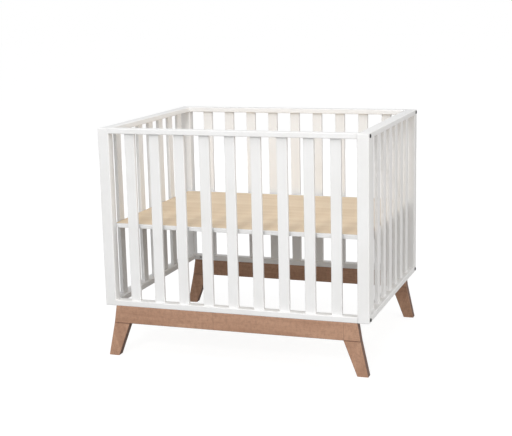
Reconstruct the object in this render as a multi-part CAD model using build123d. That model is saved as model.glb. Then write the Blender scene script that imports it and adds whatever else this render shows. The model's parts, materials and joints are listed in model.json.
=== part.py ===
from build123d import *
import os

# Baby crib: a slatted white box with a lift-out bed base, on a wooden stand with splayed legs.
# Sizes are in millimetres. The origin is on the floor under the middle of the crib,
# +X runs along the front to the right, the front faces -Y and +Z is up.

# Overall
inner_length = 956.0  # along X, between the end panels
inner_depth = 756.0  # along Y, between the front and rear panels
panel_height = 685.0  # of the white box, from lower to upper edge
bed_level = 314.5  # top of the bed base above the white box's lower edge

# White box
post_width = 43.5  # posts and end rails along X
rail_depth = 38.0  # posts, front rails and rear rails along Y
top_rail_height = 20.0
bottom_rail_height = 22.0
edge_radius = 3.0

# Slats, with a tenon at each end
slat_width = 40.0
slat_thickness = 14.0
slat_edge_radius = 2.5
long_side_slats = 9
end_slats = 7
tenon_width = 30.0
tenon_thickness = 8.0
tenon_length = 10.0
glue_gap = 0.1  # around each tenon and dowel
end_gap = 1.0  # past the end of each tenon, dowel and bolt

# Wooden stand
base_rail_height = 68.0
base_rail_depth = 33.0  # base rails and legs along Y
end_slant = 11.0  # how far a base rail grows at each end from top to bottom
leg_height = 132.0
leg_splay = 28.5  # how far a leg's outer edge runs outward from top to foot
leg_top_width = 64.0
foot_width = 41.5
stand_edge_radius = 2.5

# Bed base
board_thickness = 15.0
lipping_width = 12.0
lipping_edge_radius = 1.5
tongue_thickness = 5.0
tongue_length = 6.0
side_play = 2.0  # between the bed base and the front and rear rails
end_play = 1.5  # between the bed base and the end slats

# Corner bolts and barrel nuts
bolt_radius = 3.0
bolt_hole_radius = 3.3
bolt_tip = 8.0  # reach past the middle of the barrel nut
bolt_head_radius = 7.0
bolt_head_height = 3.5
bolt_socket_width = 4.0
bolt_socket_depth = 2.0
nut_radius = 5.0
nut_length = 14.0
nut_setback = 30.0  # from the end of the rail to the middle of the nut
nut_clearance = 0.1
thread_clearance = 0.05

# Dowels
frame_dowel_radius = 3.0
frame_dowel_length = 24.0
frame_dowel_offset = 11.0  # from the middle of the rail
leg_dowel_radius = 5.0
leg_dowel_length = 60.0
leg_dowel_spacing = 24.0

# Screws up through the base rails
rail_screw_radius = 2.5
rail_screw_head_radius = 5.0
rail_screw_head_height = 4.0
rail_screw_grip = 16.0  # length in the bottom rail
counterbore_radius = 5.5
counterbore_depth = 20.0
rail_screw_gaps = (1.5, 3.5)  # slat pitches from the middle of the side

# Angle brackets under the bed base, on the inner faces of the end slats
bracket_slat = 2  # counted from each corner
bracket_thickness = 2.0
bracket_width = 30.0
bracket_leaf_height = 30.0
bracket_shelf_length = 28.0
bracket_bend_radius = 1.5
bracket_screw_radius = 1.75
bracket_screw_head_radius = 3.5
bracket_screw_head_height = 2.0
bracket_screw_length = 12.0
bracket_screw_spacing = 14.0

# Levels and half sizes that follow from the sizes above
stand_height = base_rail_height + leg_height
box_top = stand_height + panel_height
top_rail_level = box_top - top_rail_height / 2
bottom_rail_level = stand_height + bottom_rail_height / 2
bed_top = stand_height + bed_level
bed_bottom = bed_top - board_thickness
half_length = inner_length / 2
half_depth = inner_depth / 2
outer_x = half_length + post_width
outer_y = half_depth + rail_depth
post_x = half_length + post_width / 2
panel_y = half_depth + rail_depth / 2
slat_length = panel_height - top_rail_height - bottom_rail_height
slat_level = stand_height + bottom_rail_height + slat_length / 2
stand_y = outer_y - base_rail_depth / 2
leg_top_outer_x = half_length + end_slant
foot_outer_x = leg_top_outer_x + leg_splay
slat_inner_x = post_x - slat_thickness / 2

side_signs = {"left": -1, "right": 1}
face_signs = {"front": -1, "rear": 1}
rail_levels = {"top": top_rail_level, "bottom": bottom_rail_level}
rail_heights = {"top": top_rail_height, "bottom": bottom_rail_height}


def round_x(radius, start, end, y, z):
    # a round bar or hole along X
    return Pos((start + end) / 2, y, z) * Rot(0, 90, 0) * Cylinder(radius, end - start)


def round_y(radius, start, end, x, z):
    # a round bar or hole along Y
    return Pos(x, (start + end) / 2, z) * Rot(90, 0, 0) * Cylinder(radius, end - start)


def round_z(radius, start, end, x, y):
    # a round bar or hole along Z
    return Pos(x, y, (start + end) / 2) * Cylinder(radius, end - start)


def at_corner(shape, side, face):
    # corner pieces are drawn at the front right and mirrored to the other corners
    if side < 0:
        shape = mirror(shape, about=Plane.YZ)
    if face > 0:
        shape = mirror(shape, about=Plane.XZ)
    return shape


def at_all_corners(shapes):
    return [
        at_corner(shape, side, face)
        for side in side_signs.values()
        for face in face_signs.values()
        for shape in shapes
    ]


def slat_places(length, count):
    # middles of slats that leave equal gaps along a rail
    gap = (length - count * slat_width) / (count + 1)
    return [(index + 1) * gap + (index + 0.5) * slat_width - length / 2 for index in range(count)]


def slatted_rail(length, depth, height, count, open_side):
    # a rail along X with rounded long edges and a mortise for each slat, above (1) or below (-1)
    rail = Box(length, depth, height)
    rail = fillet(rail.edges().filter_by(Axis.X), edge_radius)
    mortise_depth = tenon_length + end_gap
    mortise = Box(tenon_width + 2 * glue_gap, tenon_thickness + 2 * glue_gap, mortise_depth)
    mortise_level = open_side * (height - mortise_depth) / 2
    return rail - [Pos(x, 0, mortise_level) * mortise for x in slat_places(length, count)]


def slat():
    # an upright slat across X, standing on the bottom rail's level
    body = Box(slat_width, slat_thickness, slat_length)
    body = fillet(body.edges().filter_by(Axis.Z), slat_edge_radius)
    tenons = Box(tenon_width, tenon_thickness, slat_length + 2 * tenon_length)
    return Pos(0, 0, slat_level) * (body + tenons)


def prism(points, depth):
    # a flat outline in X and Z, given depth along Y about the stand's middle line
    outline = make_face(Polyline(*points, close=True))
    return Pos(0, depth / 2, 0) * extrude(Plane.XZ * outline, depth)


# Corner hardware, drawn at the front right corner


def corner_bolt(level):
    shank_start = half_length - nut_setback - bolt_tip
    shank = round_x(bolt_radius, shank_start, outer_x, -panel_y, level)
    head = round_x(bolt_head_radius, outer_x, outer_x + bolt_head_height, -panel_y, level)
    rim = head.edges().filter_by(GeomType.CIRCLE).sort_by(Axis.X)[-1]
    head = fillet(rim, bolt_head_height * 0.7)
    socket = extrude(RegularPolygon(bolt_socket_width / 2, 6, major_radius=False), -bolt_socket_depth)
    socket = Pos(outer_x + bolt_head_height, -panel_y, level) * Rot(0, 90, 0) * socket
    return shank + head - socket


def nut_bar(level, radius, opening):
    # upright in the top rails and level in the bottom rails, past the middle by the opening's reach
    nut_x = half_length - nut_setback
    if level == top_rail_level:
        return round_z(radius, level - opening, level + nut_length / 2, nut_x, -panel_y)
    return round_y(radius, -panel_y - nut_length / 2, -panel_y + opening, nut_x, level)


def barrel_nut(level):
    nut_x = half_length - nut_setback
    thread = round_x(bolt_radius + thread_clearance, nut_x - nut_radius, nut_x + nut_radius, -panel_y, level)
    return nut_bar(level, nut_radius, nut_length / 2) - thread


def corner_holes(level):
    # the bolt's hole runs through the post, the nut's hole opens under the top rail
    # and on the inner face of the bottom rail
    bolt_end = half_length - nut_setback - bolt_tip - end_gap
    opening = top_rail_height / 2 if level == top_rail_level else rail_depth / 2
    return [
        round_x(bolt_hole_radius, bolt_end, outer_x, -panel_y, level),
        nut_bar(level, nut_radius + nut_clearance, opening),
    ]


def frame_dowels(level, radius, length):
    # one beside each bolt, and two between the end rail and the post
    reach = length / 2
    dowels = [round_x(radius, half_length - reach, half_length + reach, -panel_y - frame_dowel_offset, level)]
    for offset in (-frame_dowel_offset, frame_dowel_offset):
        dowels.append(round_y(radius, -half_depth - reach, -half_depth + reach, post_x + offset, level))
    return dowels


def leg_dowels(radius, length):
    top_middle = leg_top_outer_x - leg_top_width / 2
    foot_middle = foot_outer_x - foot_width / 2
    lean = (foot_middle - top_middle) * leg_dowel_length / 4 / leg_height
    middle = top_middle + lean
    return [
        round_z(radius, leg_height - length / 2, leg_height + length / 2, middle + offset, -stand_y)
        for offset in (-leg_dowel_spacing / 2, leg_dowel_spacing / 2)
    ]


def bracket_screws(radius, head_height):
    # shanks from the bracket's leaf into the slat, with heads where they have a height
    leaf_x = slat_inner_x - bracket_thickness
    middle = bed_bottom - bracket_thickness - bracket_leaf_height / 2
    screws = []
    for level in (middle - bracket_screw_spacing / 2, middle + bracket_screw_spacing / 2):
        screw = round_x(radius, leaf_x, leaf_x + bracket_screw_length, bracket_y, level)
        if head_height:
            screw += round_x(bracket_screw_head_radius, leaf_x - head_height, leaf_x, bracket_y, level)
        screws.append(screw)
    return screws


def bed_bracket():
    # a leaf screwed to the slat and a shelf under the end of the bed base
    leaf_height = bracket_thickness + bracket_leaf_height
    leaf = Pos(slat_inner_x - bracket_thickness / 2, bracket_y, bed_bottom - leaf_height / 2) * Box(
        bracket_thickness, bracket_width, leaf_height
    )
    shelf = Pos(slat_inner_x - bracket_shelf_length / 2, bracket_y, bed_bottom - bracket_thickness / 2) * Box(
        bracket_shelf_length, bracket_width, bracket_thickness
    )
    bracket = leaf + shelf
    bend = bracket.edges().filter_by(Axis.Y).sort_by(Axis.Z)[-2:].sort_by(Axis.X)[-1]
    return fillet(bend, bracket_bend_radius) - bracket_screw_holes


bracket_y = slat_places(inner_depth, end_slats)[bracket_slat - 1]
bracket_screw_holes = bracket_screws(bracket_screw_radius + thread_clearance, 0)

frame_holes = []
for level in rail_levels.values():
    frame_holes += corner_holes(level)
    frame_holes += frame_dowels(level, frame_dowel_radius + glue_gap, frame_dowel_length + 2 * end_gap)

nodes = {}

# Posts
post = Box(post_width, rail_depth, panel_height)
post = Pos(post_x, -panel_y, stand_height + panel_height / 2) * fillet(post.edges(), edge_radius)
post -= frame_holes
for face_name, face in face_signs.items():
    for side_name, side in side_signs.items():
        nodes[f"{face_name}_{side_name}_post"] = at_corner(post, side, face)

# Holes along the front and rear for the screws that hold the stand
side_pitch = slat_places(inner_length, long_side_slats)[1] - slat_places(inner_length, long_side_slats)[0]
screw_places = [sign * gap * side_pitch for gap in rail_screw_gaps for sign in (-1, 1)]
screw_seat = counterbore_depth + leg_height
screw_tip = stand_height + rail_screw_grip


def rail_screw_holes(face):
    holes = []
    for x in screw_places:
        holes.append(round_z(rail_screw_radius + thread_clearance, screw_seat, screw_tip, x, face * stand_y))
        holes.append(round_z(counterbore_radius, leg_height, screw_seat, x, face * stand_y))
    return holes


# Rails and slats
for level_name, level in rail_levels.items():
    height = rail_heights[level_name]
    open_side = 1 if level_name == "bottom" else -1
    for face_name, face in face_signs.items():
        rail = slatted_rail(inner_length, rail_depth, height, long_side_slats, open_side)
        rail = Pos(0, face * panel_y, level) * rail
        for side in side_signs.values():
            rail -= [at_corner(hole, side, face) for hole in frame_holes]
        if level_name == "bottom":
            rail -= rail_screw_holes(face)
        nodes[f"{face_name}_{level_name}_rail"] = rail
    for side_name, side in side_signs.items():
        rail = slatted_rail(inner_depth, post_width, height, end_slats, open_side)
        rail = Pos(side * post_x, 0, level) * Rot(0, 0, 90) * rail
        for face in face_signs.values():
            rail -= [at_corner(hole, side, face) for hole in frame_holes]
        nodes[f"{side_name}_{level_name}_rail"] = rail

for face_name, face in face_signs.items():
    for index, x in enumerate(slat_places(inner_length, long_side_slats), start=1):
        nodes[f"{face_name}_slat_{index}"] = Pos(x, face * panel_y, 0) * slat()
for side_name, side in side_signs.items():
    for index, y in enumerate(slat_places(inner_depth, end_slats), start=1):
        piece = Pos(side * post_x, y, 0) * Rot(0, 0, 90) * slat()
        if index in (bracket_slat, end_slats + 1 - bracket_slat):
            piece -= [at_corner(hole, side, 1 if y > 0 else -1) for hole in bracket_screw_holes]
        nodes[f"{side_name}_slat_{index}"] = piece

# Stand
base_rail = prism(
    [
        (-half_length, stand_height),
        (half_length, stand_height),
        (leg_top_outer_x, leg_height),
        (-leg_top_outer_x, leg_height),
    ],
    base_rail_depth,
)
base_rail = fillet(base_rail.edges() - base_rail.edges().filter_by(Axis.Y), stand_edge_radius)
leg = prism(
    [
        (leg_top_outer_x - leg_top_width, leg_height),
        (leg_top_outer_x, leg_height),
        (foot_outer_x, 0),
        (foot_outer_x - foot_width, 0),
    ],
    base_rail_depth,
)
leg = fillet(leg.edges() - leg.edges().filter_by(Axis.Y) - leg.edges().filter_by(Axis.X), stand_edge_radius)
leg = Pos(0, -stand_y, 0) * leg
leg_dowel_holes = leg_dowels(leg_dowel_radius + glue_gap, leg_dowel_length + 2 * end_gap)
leg -= leg_dowel_holes
for face_name, face in face_signs.items():
    rail = Pos(0, face * stand_y, 0) * base_rail
    for side in side_signs.values():
        rail -= [at_corner(hole, side, face) for hole in leg_dowel_holes]
    nodes[f"{face_name}_base_rail"] = rail - rail_screw_holes(face)
    for side_name, side in side_signs.items():
        nodes[f"{face_name}_{side_name}_leg"] = at_corner(leg, side, face)

# Bed base: a board tongued into a white lipping along the front and the rear
bed_length = 2 * (slat_inner_x - end_play)
bed_half_depth = half_depth - side_play
board_half_depth = bed_half_depth - lipping_width
bed_level_middle = bed_top - board_thickness / 2
board = Box(bed_length, 2 * board_half_depth, board_thickness)
tongues = Box(bed_length, 2 * (board_half_depth + tongue_length), tongue_thickness)
nodes["base_board"] = Pos(0, 0, bed_level_middle) * (board + tongues)
lipping = Box(bed_length, lipping_width, board_thickness)
lipping = fillet(lipping.edges().filter_by(Axis.X).sort_by(Axis.Y)[:2], lipping_edge_radius)
lipping = Pos(0, -bed_half_depth + lipping_width / 2, bed_level_middle) * lipping
groove = Box(
    bed_length, 2 * (board_half_depth + tongue_length + glue_gap), tongue_thickness + 2 * glue_gap
)
lipping -= Pos(0, 0, bed_level_middle) * groove
nodes["base_lipping"] = Compound([lipping, mirror(lipping, about=Plane.XZ)])

# Fasteners and brackets, in groups of like pieces
nodes["corner_bolts"] = Compound(at_all_corners([corner_bolt(level) for level in rail_levels.values()]))
nodes["barrel_nuts"] = Compound(at_all_corners([barrel_nut(level) for level in rail_levels.values()]))
corner_dowels = []
for level in rail_levels.values():
    corner_dowels += frame_dowels(level, frame_dowel_radius, frame_dowel_length)
nodes["frame_dowels"] = Compound(at_all_corners(corner_dowels))
nodes["leg_dowels"] = Compound(at_all_corners(leg_dowels(leg_dowel_radius, leg_dowel_length)))
rail_screws = []
for face in face_signs.values():
    for x in screw_places:
        shank = round_z(rail_screw_radius, screw_seat, screw_tip, x, face * stand_y)
        head_start = screw_seat - rail_screw_head_height
        head = round_z(rail_screw_head_radius, head_start, screw_seat, x, face * stand_y)
        rail_screws.append(shank + head)
nodes["base_rail_screws"] = Compound(rail_screws)
nodes["bed_brackets"] = Compound(at_all_corners([bed_bracket()]))
nodes["bracket_screws"] = Compound(
    at_all_corners(bracket_screws(bracket_screw_radius, bracket_screw_head_height))
)

os.makedirs("parts", exist_ok=True)
for name, shape in nodes.items():
    shape.label = name
    export_step(shape, f"parts/{name}.step")
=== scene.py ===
import json
import math

import bpy
from mathutils import Matrix, Vector


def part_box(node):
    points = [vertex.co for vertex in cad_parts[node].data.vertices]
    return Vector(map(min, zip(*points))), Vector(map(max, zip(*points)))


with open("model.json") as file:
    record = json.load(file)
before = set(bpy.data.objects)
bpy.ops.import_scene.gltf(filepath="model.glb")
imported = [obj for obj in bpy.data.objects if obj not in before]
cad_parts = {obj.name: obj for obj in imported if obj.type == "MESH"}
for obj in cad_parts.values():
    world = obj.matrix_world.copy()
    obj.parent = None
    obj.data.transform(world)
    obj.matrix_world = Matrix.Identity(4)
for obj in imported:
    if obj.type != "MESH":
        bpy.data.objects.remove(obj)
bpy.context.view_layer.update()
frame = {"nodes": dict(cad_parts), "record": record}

nodes = frame["nodes"]
scene = bpy.context.scene
print("frame loaded:", len(nodes), "nodes")

noiseSpan = (0.3, 0.7)  # nearly all of a noise's values lie between these


def addNode(tree, kind, **settings):
    node = tree.nodes.new(kind)
    for name, value in settings.items():
        setattr(node, name, value)
    return node


def newMaterial(name):
    material = bpy.data.materials.new(name)
    material.use_nodes = True
    tree = material.node_tree
    return material, tree, tree.nodes["Principled BSDF"]


def scaledCoords(tree, scale, turn):
    # object coordinates in metres, turned so that X runs with the grain, then stretched
    coords = addNode(tree, "ShaderNodeTexCoord")
    turned = addNode(tree, "ShaderNodeMapping")
    turned.inputs["Rotation"].default_value = turn
    stretched = addNode(tree, "ShaderNodeMapping")
    stretched.inputs["Scale"].default_value = scale
    tree.links.new(coords.outputs["Object"], turned.inputs["Vector"])
    tree.links.new(turned.outputs["Vector"], stretched.inputs["Vector"])
    return stretched.outputs["Vector"]


def noiseOn(tree, scale, detail, roughness=0.55, distortion=0.0, turn=(0, 0, 0)):
    noise = addNode(tree, "ShaderNodeTexNoise")
    noise.inputs["Scale"].default_value = 1.0
    noise.inputs["Detail"].default_value = detail
    noise.inputs["Roughness"].default_value = roughness
    noise.inputs["Distortion"].default_value = distortion
    tree.links.new(scaledCoords(tree, scale, turn), noise.inputs["Vector"])
    return noise.outputs["Fac"]


def fitRange(tree, value, span, result=(0.0, 1.0)):
    # stretches the span to the result and stops at its ends
    fit = addNode(tree, "ShaderNodeMapRange", clamp=True)
    fit.inputs["From Min"].default_value, fit.inputs["From Max"].default_value = span
    fit.inputs["To Min"].default_value, fit.inputs["To Max"].default_value = result
    tree.links.new(value, fit.inputs["Value"])
    return fit.outputs["Result"]


def mixColours(tree, amount, first, second):
    # first and second are colours or sockets
    mix = addNode(tree, "ShaderNodeMix", data_type="RGBA", clamp_factor=True)
    tree.links.new(amount, mix.inputs[0])
    for socket, colour in ((mix.inputs[6], first), (mix.inputs[7], second)):
        if isinstance(colour, tuple):
            socket.default_value = (*colour, 1.0)
        else:
            tree.links.new(colour, socket)
    return mix.outputs[2]


def layOver(tree, base, colour, value, span, most=1.0):
    # lays the colour over the base more and more as the value crosses the span
    return mixColours(tree, fitRange(tree, value, span, (0.0, most)), base, colour)


def maths(tree, operation, first, second=0.0):
    node = addNode(tree, "ShaderNodeMath", operation=operation)
    for socket, value in ((node.inputs[0], first), (node.inputs[1], second)):
        if isinstance(value, (int, float)):
            socket.default_value = value
        else:
            tree.links.new(value, socket)
    return node.outputs[0]


def perStrip(tree, number):
    # one random value for each whole number
    tone = addNode(tree, "ShaderNodeTexWhiteNoise", noise_dimensions="1D")
    tree.links.new(maths(tree, "FLOOR", number), tone.inputs["W"])
    return tone.outputs["Value"]


def varyRoughness(tree, shader, noise, look):
    tree.links.new(fitRange(tree, noise, noiseSpan, look["roughness"]), shader.inputs["Roughness"])


def addBump(tree, shader, height, look):
    bump = addNode(tree, "ShaderNodeBump")
    bump.inputs["Strength"].default_value, bump.inputs["Distance"].default_value = look["bump"]
    tree.links.new(height, bump.inputs["Height"])
    tree.links.new(bump.outputs["Normal"], shader.inputs["Normal"])


# the slatted box and the lipping
lacquer = {
    "colour": (0.82, 0.82, 0.818),
    "thinColour": (0.795, 0.793, 0.785),  # where the coat lies thinner
    "thinSpan": (0.42, 0.72),
    "clouds": {"scale": (7.0, 7.0, 7.0), "detail": 2.0},
    "peel": {"scale": (420.0, 420.0, 420.0), "detail": 2.0},
    "fibres": {"scale": (900.0, 900.0, 26.0), "detail": 2.0},  # upright, as on the slats
    "roughness": (0.36, 0.50),
    "bump": (0.025, 0.0002),  # strength, then depth in metres
    "specular": 0.42,
    "coat": 0.08,
    "coatRoughness": 0.3,
}


def whiteLacquer(look):
    material, tree, shader = newMaterial("whiteLacquer")
    clouds = noiseOn(tree, **look["clouds"])
    peel = noiseOn(tree, **look["peel"])
    fibres = noiseOn(tree, **look["fibres"])
    colour = layOver(tree, look["colour"], look["thinColour"], clouds, look["thinSpan"])
    tree.links.new(colour, shader.inputs["Base Color"])
    varyRoughness(tree, shader, peel, look)
    addBump(tree, shader, maths(tree, "ADD", peel, fibres), look)
    shader.inputs["Specular IOR Level"].default_value = look["specular"]
    shader.inputs["Coat Weight"].default_value = look["coat"]
    shader.inputs["Coat Roughness"].default_value = look["coatRoughness"]
    return material


# the base rails and the legs
stain = {
    "light": (0.520, 0.312, 0.208),
    "middle": (0.400, 0.225, 0.145),
    "dark": (0.180, 0.092, 0.060),
    "figure": {"scale": (2.6, 26.0, 26.0), "detail": 3.0, "distortion": 0.7},
    "figureSpan": (0.34, 0.68),
    "mottle": {"scale": (95.0, 60.0, 60.0), "detail": 4.0, "distortion": 0.3},
    "mottleSpan": (0.45, 0.75),
    "mottleShade": 0.38,
    "fibre": {"scale": (26.0, 620.0, 620.0), "detail": 3.0},
    "fibreSpan": (0.50, 0.80),
    "fibreShade": 0.55,
    "fleck": {"scale": (170.0, 1300.0, 1300.0), "detail": 1.0},
    "fleckSpan": (0.63, 0.72),
    "fleckShade": 0.60,
    "edge": (0.115, 0.072, 0.060),  # faces turned to the left or right are darkened: the rail ends as end grain that drinks more stain, partly painted shade; the legs' side faces as painted shade
    "edgeSpan": (0.78, 0.90),
    "edgeShade": 0.80,
    "glueLine": 0.0011,  # half the dark line where a leg meets its rail, before it fades
    "glueShade": 0.60,
    "staveLength": 0.505,
    "staveStart": -0.080,  # the rails are glued up from lengths that meet here
    "staveShade": 0.22,
    "seamWidth": 0.0016,
    "seamShade": 0.55,
    "legGrain": 76,  # degrees from level: nearly upright, along the legs' splay
    "roughness": (0.48, 0.66),
    "bump": (0.35, 0.0004),
    "fibreHeight": 0.6,
    "poreSpan": (0.60, 0.72),
    "specular": 0.35,
}

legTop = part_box("front_left_leg")[1][2]


def stainedBeech(name, look, turn, staves):
    material, tree, shader = newMaterial(name)
    figure = noiseOn(tree, **look["figure"], turn=turn)
    mottle = noiseOn(tree, **look["mottle"], turn=turn)
    fibre = noiseOn(tree, **look["fibre"], turn=turn)
    fleck = noiseOn(tree, **look["fleck"], turn=turn)
    base = layOver(tree, look["light"], look["middle"], figure, look["figureSpan"])
    base = layOver(tree, base, look["dark"], mottle, look["mottleSpan"], look["mottleShade"])
    base = layOver(tree, base, look["dark"], fibre, look["fibreSpan"], look["fibreShade"])
    base = layOver(tree, base, look["dark"], fleck, look["fleckSpan"], look["fleckShade"])

    coords = addNode(tree, "ShaderNodeTexCoord")
    place = addNode(tree, "ShaderNodeSeparateXYZ")
    tree.links.new(coords.outputs["Object"], place.inputs[0])
    if staves:
        fromStart = maths(tree, "SUBTRACT", place.outputs[0], look["staveStart"])
        along = maths(tree, "DIVIDE", fromStart, look["staveLength"])
        base = layOver(tree, base, look["middle"], perStrip(tree, along), (0.0, 1.0), look["staveShade"])
        seamShare = look["seamWidth"] / look["staveLength"]
        seam = maths(tree, "LESS_THAN", maths(tree, "FRACT", along), seamShare)
        base = mixColours(tree, maths(tree, "MULTIPLY", seam, look["seamShade"]), base, look["dark"])

    offJoint = maths(tree, "ABSOLUTE", maths(tree, "SUBTRACT", place.outputs[2], legTop))
    glueSpan = (look["glueLine"], 2 * look["glueLine"])
    glue = fitRange(tree, offJoint, glueSpan, (look["glueShade"], 0.0))
    base = mixColours(tree, glue, base, look["dark"])

    # painted shade on the legs' side faces; on the rail ends, darker end grain with painted shade
    facing = addNode(tree, "ShaderNodeSeparateXYZ")
    tree.links.new(coords.outputs["Normal"], facing.inputs[0])
    sideways = maths(tree, "ABSOLUTE", facing.outputs[0])
    base = layOver(tree, base, look["edge"], sideways, look["edgeSpan"], look["edgeShade"])

    tree.links.new(base, shader.inputs["Base Color"])
    varyRoughness(tree, shader, fibre, look)
    pores = maths(tree, "SUBTRACT", 1.0, fitRange(tree, fleck, look["poreSpan"]))
    grain = maths(tree, "ADD", maths(tree, "MULTIPLY", fibre, look["fibreHeight"]), pores)
    addBump(tree, shader, grain, look)
    shader.inputs["Specular IOR Level"].default_value = look["specular"]
    return material


# the bed board
veneer = {
    "pale": (0.790, 0.637, 0.452),
    "honey": (0.715, 0.548, 0.366),
    "line": (0.50, 0.355, 0.225),
    "bands": {"scale": (1.1, 30.0, 30.0), "detail": 3.0, "distortion": 0.4},
    "bandSpan": (0.36, 0.66),
    "stripWidth": 0.0925,  # veneer strips laid side by side
    "stripShade": 0.10,
    "fibre": {"scale": (11.0, 520.0, 520.0), "detail": 3.0},
    "fibreSpan": (0.52, 0.80),
    "fibreShade": 0.32,
    "rays": {"scale": (260.0, 900.0, 900.0), "detail": 1.0},
    "raySpan": (0.66, 0.74),
    "rayShade": 0.35,
    "roughness": (0.38, 0.52),
    "bump": (0.2, 0.0003),
    "specular": 0.4,
}


def lightVeneer(look):
    material, tree, shader = newMaterial("lightVeneer")
    coords = addNode(tree, "ShaderNodeTexCoord")
    place = addNode(tree, "ShaderNodeSeparateXYZ")
    tree.links.new(coords.outputs["Object"], place.inputs[0])
    strip = perStrip(tree, maths(tree, "DIVIDE", place.outputs[1], look["stripWidth"]))
    bands = noiseOn(tree, **look["bands"])
    fibre = noiseOn(tree, **look["fibre"])
    rays = noiseOn(tree, **look["rays"])
    base = layOver(tree, look["pale"], look["honey"], bands, look["bandSpan"])
    base = layOver(tree, base, look["honey"], strip, (0.0, 1.0), look["stripShade"])
    base = layOver(tree, base, look["line"], fibre, look["fibreSpan"], look["fibreShade"])
    base = layOver(tree, base, look["line"], rays, look["raySpan"], look["rayShade"])
    tree.links.new(base, shader.inputs["Base Color"])
    varyRoughness(tree, shader, fibre, look)
    addBump(tree, shader, fibre, look)
    shader.inputs["Specular IOR Level"].default_value = look["specular"]
    return material


# the fittings and the dowels, each a plain colour with specks of a second one
blackFinish = {
    "colour": (0.012, 0.012, 0.013),
    "worn": (0.05, 0.05, 0.055),
    "roughness": (0.28, 0.5),
    "grain": 900.0,
    "metallic": 0.0,
}
whiteCoat = {
    "colour": (0.80, 0.80, 0.79),
    "worn": (0.74, 0.74, 0.73),
    "roughness": (0.4, 0.55),
    "grain": 700.0,
    "metallic": 0.0,
}
zincFinish = {
    "colour": (0.56, 0.57, 0.59),
    "worn": (0.42, 0.43, 0.46),
    "roughness": (0.28, 0.5),
    "grain": 260.0,
    "metallic": 1.0,
}
dowelFinish = {
    "colour": (0.70, 0.53, 0.34),
    "worn": (0.55, 0.38, 0.22),
    "roughness": (0.6, 0.8),
    "grain": 400.0,
    "metallic": 0.0,
}
specks = {
    "noise": {"detail": 4.0, "roughness": 0.6},
    "wornSpan": (0.4, 0.75),
    "bump": (0.15, 0.0002),
}


def speckled(name, look):
    material, tree, shader = newMaterial(name)
    speck = noiseOn(tree, scale=(look["grain"],) * 3, **specks["noise"])
    colour = layOver(tree, look["colour"], look["worn"], speck, specks["wornSpan"])
    tree.links.new(colour, shader.inputs["Base Color"])
    varyRoughness(tree, shader, speck, look)
    addBump(tree, shader, speck, specks)
    shader.inputs["Metallic"].default_value = look["metallic"]
    return material


finishes = {
    "white_lacquer": whiteLacquer(lacquer),
    "light_wood": lightVeneer(veneer),
    "black_steel": speckled("blackOxide", blackFinish),
    "white_steel": speckled("whiteCoat", whiteCoat),
    "zinc_steel": speckled("zincPlate", zincFinish),
    "dowel_wood": speckled("dowelBeech", dowelFinish),
}
legTurn = math.radians(stain["legGrain"])
railBeech = stainedBeech("stainedBeechRails", stain, (0, 0, 0), staves=True)
legBeech = {
    "left": stainedBeech("stainedBeechLeftLegs", stain, (0, -legTurn, 0), staves=False),
    "right": stainedBeech("stainedBeechRightLegs", stain, (0, legTurn, 0), staves=False),
}
slotOf = {part["node"]: part["material_slot"] for part in frame["record"]["subparts"]}
for name, piece in nodes.items():
    if name.endswith("_leg"):
        material = legBeech["left" if "left" in name else "right"]
    elif name.endswith("_base_rail"):
        material = railBeech
    else:
        material = finishes[slotOf[name]]
    for slot in piece.material_slots:
        slot.material = material
print("finishes on:", len(nodes), "pieces")

studio = {
    "floorRadius": 30.0,
    "floorSides": 96,
    "floorShade": (0.42, 0.42, 0.42),  # what the floor throws back up at the crib
    "floorSeen": (0.22, 0.22, 0.22),  # what the camera sees of it, under the glow
    "floorGlow": 0.86,
    "glowColour": (1.0, 1.0, 1.0),
    "ambient": (0.64, 0.64, 0.64),
    "backdrop": (1.0, 1.0, 1.0),
    "lightsAim": (0.0, 0.0, 0.5),
}


def splitByCamera(tree, output, lighting, seen):
    # the camera sees one shader, and all other light meets the other
    rays = addNode(tree, "ShaderNodeLightPath")
    choose = addNode(tree, "ShaderNodeMixShader")
    tree.links.new(rays.outputs["Is Camera Ray"], choose.inputs[0])
    tree.links.new(lighting.outputs[0], choose.inputs[1])
    tree.links.new(seen.outputs[0], choose.inputs[2])
    tree.links.new(choose.outputs[0], output.inputs["Surface"])


def plainShader(tree, kind, colour):
    shader = addNode(tree, kind)
    shader.inputs["Color"].default_value = (*colour, 1.0)
    return shader


def makeFloor(look):
    bpy.ops.mesh.primitive_circle_add(
        vertices=look["floorSides"], radius=look["floorRadius"], fill_type="NGON"
    )
    floor = bpy.context.object
    floor.name = "studioFloor"
    material = bpy.data.materials.new("paleFloor")
    material.use_nodes = True
    tree = material.node_tree
    tree.nodes.clear()
    output = addNode(tree, "ShaderNodeOutputMaterial")
    bounce = plainShader(tree, "ShaderNodeBsdfDiffuse", look["floorShade"])
    seen = plainShader(tree, "ShaderNodeBsdfDiffuse", look["floorSeen"])
    glow = plainShader(tree, "ShaderNodeEmission", look["glowColour"])
    glow.inputs["Strength"].default_value = look["floorGlow"]
    pale = addNode(tree, "ShaderNodeAddShader")
    tree.links.new(seen.outputs[0], pale.inputs[0])
    tree.links.new(glow.outputs[0], pale.inputs[1])
    splitByCamera(tree, output, bounce, pale)
    floor.data.materials.append(material)


def makeWorld(look):
    world = bpy.data.worlds.new("studioAir")
    world.use_nodes = True
    tree = world.node_tree
    tree.nodes.clear()
    output = addNode(tree, "ShaderNodeOutputWorld")
    ambient = plainShader(tree, "ShaderNodeBackground", look["ambient"])
    backdrop = plainShader(tree, "ShaderNodeBackground", look["backdrop"])
    splitByCamera(tree, output, ambient, backdrop)
    scene.world = world


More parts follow.
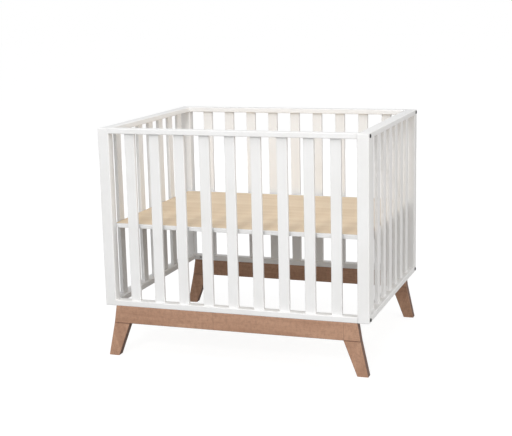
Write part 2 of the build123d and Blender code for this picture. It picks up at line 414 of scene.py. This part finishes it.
softboxes = {
    "frontSoftbox": {
        "place": (0.0, -5.2, 3.4),
        "size": (0.8, 0.8),
        "power": 92.0,
        "colour": (1.0, 1.0, 1.0),
        "inReflections": True,
    },
    "lowSoftbox": {
        "place": (0.6, -5.4, 1.4),
        "size": (2.4, 2.0),
        "power": 18.0,
        "colour": (1.0, 1.0, 1.0),
        "inReflections": True,
    },
    "rightSoftbox": {
        "place": (4.8, -1.6, 1.8),
        "size": (2.6, 2.2),
        "power": 80.0,
        "colour": (1.0, 0.965, 0.92),
        "inReflections": True,
    },
    "topSoftbox": {
        "place": (0.0, -1.9, 4.3),
        "size": (3.0, 3.0),
        "power": 54.0,
        "colour": (1.0, 1.0, 1.0),
        "inReflections": True,
    },
    "rearSoftbox": {
        "place": (-2.2, 5.0, 1.0),
        "size": (3.2, 1.6),
        "power": 40.0,
        "colour": (1.0, 1.0, 1.0),
        "inReflections": False,  # a fill only, with no glare on the bed base
    },
}


def makeLights(look, target):
    for name, box in look.items():
        light = bpy.data.lights.new(name, "AREA")
        light.shape = "RECTANGLE"
        light.size, light.size_y = box["size"]
        light.energy = box["power"]
        light.color = box["colour"]
        lamp = bpy.data.objects.new(name, light)
        lamp.location = box["place"]
        lamp.visible_glossy = box["inReflections"]
        lamp.rotation_euler = (target - lamp.location).to_track_quat("-Z", "Y").to_euler()
        scene.collection.objects.link(lamp)


shot = {
    "place": (1.4567, -4.2350, 1.3709),
    "turn": 19.011,  # degrees to the left of straight ahead
    "tilt": 11.575,  # degrees down
    "roll": -1.206,
    "lens": 80.06,
    "sensor": 36.0,
    "shift": (-0.0205, 0.0148),
    "farthest": 200.0,  # metres
}


def makeCamera(look):
    camera = bpy.data.objects.new("camera", bpy.data.cameras.new("camera"))
    turn = Matrix.Rotation(math.radians(look["turn"]), 4, "Z")
    tilt = Matrix.Rotation(math.radians(90 - look["tilt"]), 4, "X")
    roll = Matrix.Rotation(math.radians(look["roll"]), 4, "Z")
    camera.matrix_world = Matrix.Translation(look["place"]) @ turn @ tilt @ roll
    camera.data.sensor_width = look["sensor"]
    camera.data.lens = look["lens"]
    camera.data.shift_x, camera.data.shift_y = look["shift"]
    camera.data.clip_end = look["farthest"]
    scene.collection.objects.link(camera)
    scene.camera = camera


makeFloor(studio)
makeWorld(studio)
makeLights(softboxes, Vector(studio["lightsAim"]))
makeCamera(shot)
scene.view_settings.view_transform = "Standard"
print("studio ready")
